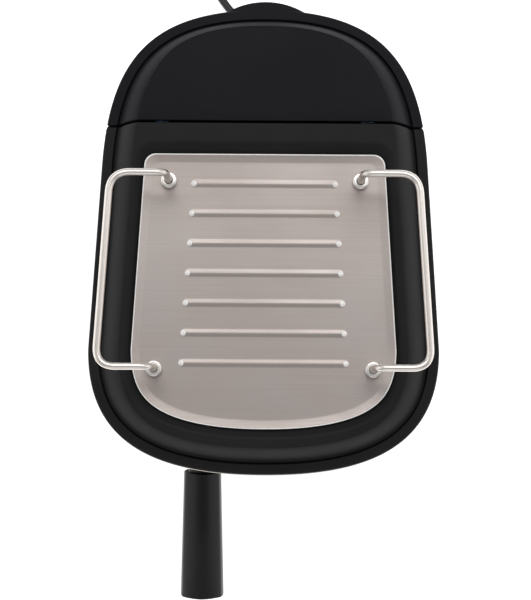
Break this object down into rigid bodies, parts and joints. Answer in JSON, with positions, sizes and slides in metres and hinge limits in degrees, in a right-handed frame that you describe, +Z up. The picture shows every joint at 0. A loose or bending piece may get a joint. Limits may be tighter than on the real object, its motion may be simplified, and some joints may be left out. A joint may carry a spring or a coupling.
{
  "type": "pump espresso machine",
  "caption": "Compact pump espresso machine with cup-warming tray and rails, rear water tank, portafilter, steam wand and mains lead.",
  "frame": {"origin": "on the worktop under the middle of the machine's box, measured without the mains lead", "axes": "+X to the machine's right as its user sees it, +Y towards its back, +Z up"},
  "size_m": [0.2012, 0.5008, 0.296],
  "materials": {
    "black_housing": "satin black moulded plastic",
    "dark_fittings": "matt black moulded plastic",
    "control_black": "satin black",
    "grip_black": "smooth phenolic black",
    "rubber_parts": "matt",
    "lead_black": "matt sheath",
    "brushed_steel_sheet": "brushed across",
    "rail_chrome": "bright",
    "brew_chrome": "bright",
    "plain_steel": "fine satin",
    "cast_aluminium": "as cast",
    "valve_brass": "turned",
    "smoked_tank": "clear smoke blue plastic",
    "hose_white": "translucent silicone",
    "board_green": "lacquered board",
    "float_red": "red",
    "lamp_red": "lens",
    "lamp_amber": "lens"
  },
  "bodies": {
    "housing": {"body_shell": "black_housing", "base_housing": "black_housing", "tray_shelf": "black_housing", "top_cover": "black_housing", "base_plate": "dark_fittings", "head_underside": "dark_fittings", "wand_socket": "dark_fittings", "pump": "dark_fittings", "foot_front_left": "rubber_parts", "foot_front_right": "rubber_parts", "foot_rear_left": "rubber_parts", "foot_rear_right": "rubber_parts", "group_gasket": "rubber_parts", "tank_seat": "rubber_parts", "strain_relief": "lead_black", "power_cord": "lead_black", "cord_coil": "lead_black", "power_plug": "lead_black", "cup_tray": "brushed_steel_sheet", "splash_panel": "brushed_steel_sheet", "front_trim": "brushed_steel_sheet", "rail_socket_front_left": "rail_chrome", "rail_socket_front_right": "rail_chrome", "rail_socket_rear_left": "rail_chrome", "rail_socket_rear_right": "rail_chrome", "cup_rail_left": "rail_chrome", "cup_rail_right": "rail_chrome", "shower_screen": "plain_steel", "shower_screw": "plain_steel", "steam_pipe": "plain_steel", "boiler_thermostat": "plain_steel", "pump_bracket": "plain_steel", "group_ring": "cast_aluminium", "boiler_base": "cast_aluminium", "boiler_top": "cast_aluminium", "steam_valve": "valve_brass", "suction_hose": "hose_white", "pressure_hose": "hose_white", "control_board": "board_green", "ready_lamp": "lamp_red", "heat_lamp": "lamp_amber"},
    "tank": {"water_tank": "smoked_tank", "tank_valve": "dark_fittings", "tank_hinge_left": "smoked_tank", "tank_hinge_right": "smoked_tank"},
    "lid": {"tank_lid": "black_housing"},
    "portafilter": {"portafilter_bowl": "brew_chrome", "filter_basket": "plain_steel", "portafilter_neck": "brew_chrome", "portafilter_handle": "grip_black", "twin_spout": "brew_chrome"},
    "steam_dial": {"steam_dial": "control_black"},
    "power_key": {"power_button": "control_black"},
    "brew_key": {"brew_button": "control_black"},
    "steam_key": {"steam_button": "control_black"},
    "wand": {"steam_wand": "plain_steel"},
    "sleeve": {"froth_sleeve": "grip_black"},
    "tray": {"drip_tray": "black_housing"},
    "grille": {"drip_grille": "brushed_steel_sheet"},
    "float": {"level_float": "float_red"}
  },
  "joints": [
    {"name": "tank_lift", "type": "slide", "parent": "housing", "child": "tank", "axis": [0, 0, 1], "range_m": [0, 0.08]},
    {"name": "lid_open", "type": "hinge", "parent": "tank", "child": "lid", "pos_m": [0, 0.1048, 0.262], "axis": [1, 0, 0], "range_deg": [0, 85]},
    {"name": "portafilter_turn", "type": "hinge", "parent": "housing", "child": "portafilter", "pos_m": [-0.038, -0.013, 0.15], "axis": [0, 0, 1], "range_deg": [-45, 0]},
    {"name": "steam_dial_turn", "type": "hinge", "parent": "housing", "child": "steam_dial", "pos_m": [0.0493, -0.0693, 0.21], "axis": [0, 0, 1], "range_deg": [0, 270]},
    {"name": "power_press", "type": "slide", "parent": "housing", "child": "power_key", "axis": [0.065, 0.9979, 0], "range_m": [0, 0.002], "stiffness_N_per_m": 400, "springref_m": -0.002},
    {"name": "brew_press", "type": "slide", "parent": "housing", "child": "brew_key", "axis": [-0.0062, 1, 0], "range_m": [0, 0.002], "stiffness_N_per_m": 400, "springref_m": -0.002},
    {"name": "steam_press", "type": "slide", "parent": "housing", "child": "steam_key", "axis": [-0.0828, 0.9966, 0], "range_m": [0, 0.002], "stiffness_N_per_m": 400, "springref_m": -0.002},
    {"name": "wand_swing", "type": "hinge", "parent": "housing", "child": "wand", "pos_m": [0.056, 0.005, 0.1715], "axis": [0, 0, 1], "range_deg": [0, 60]},
    {"name": "sleeve_pull", "type": "slide", "parent": "wand", "child": "sleeve", "axis": [0, 0, -1], "range_m": [0, 0.025]},
    {"name": "tray_slide", "type": "slide", "parent": "housing", "child": "tray", "axis": [0, -1, 0], "range_m": [0, 0.11]},
    {"name": "grille_lift", "type": "slide", "parent": "tray", "child": "grille", "axis": [0, 0, 1], "range_m": [0, 0.025]},
    {"name": "float_rise", "type": "slide", "parent": "tray", "child": "float", "axis": [0, 0, 1], "range_m": [0, 0.008]}
  ]
}
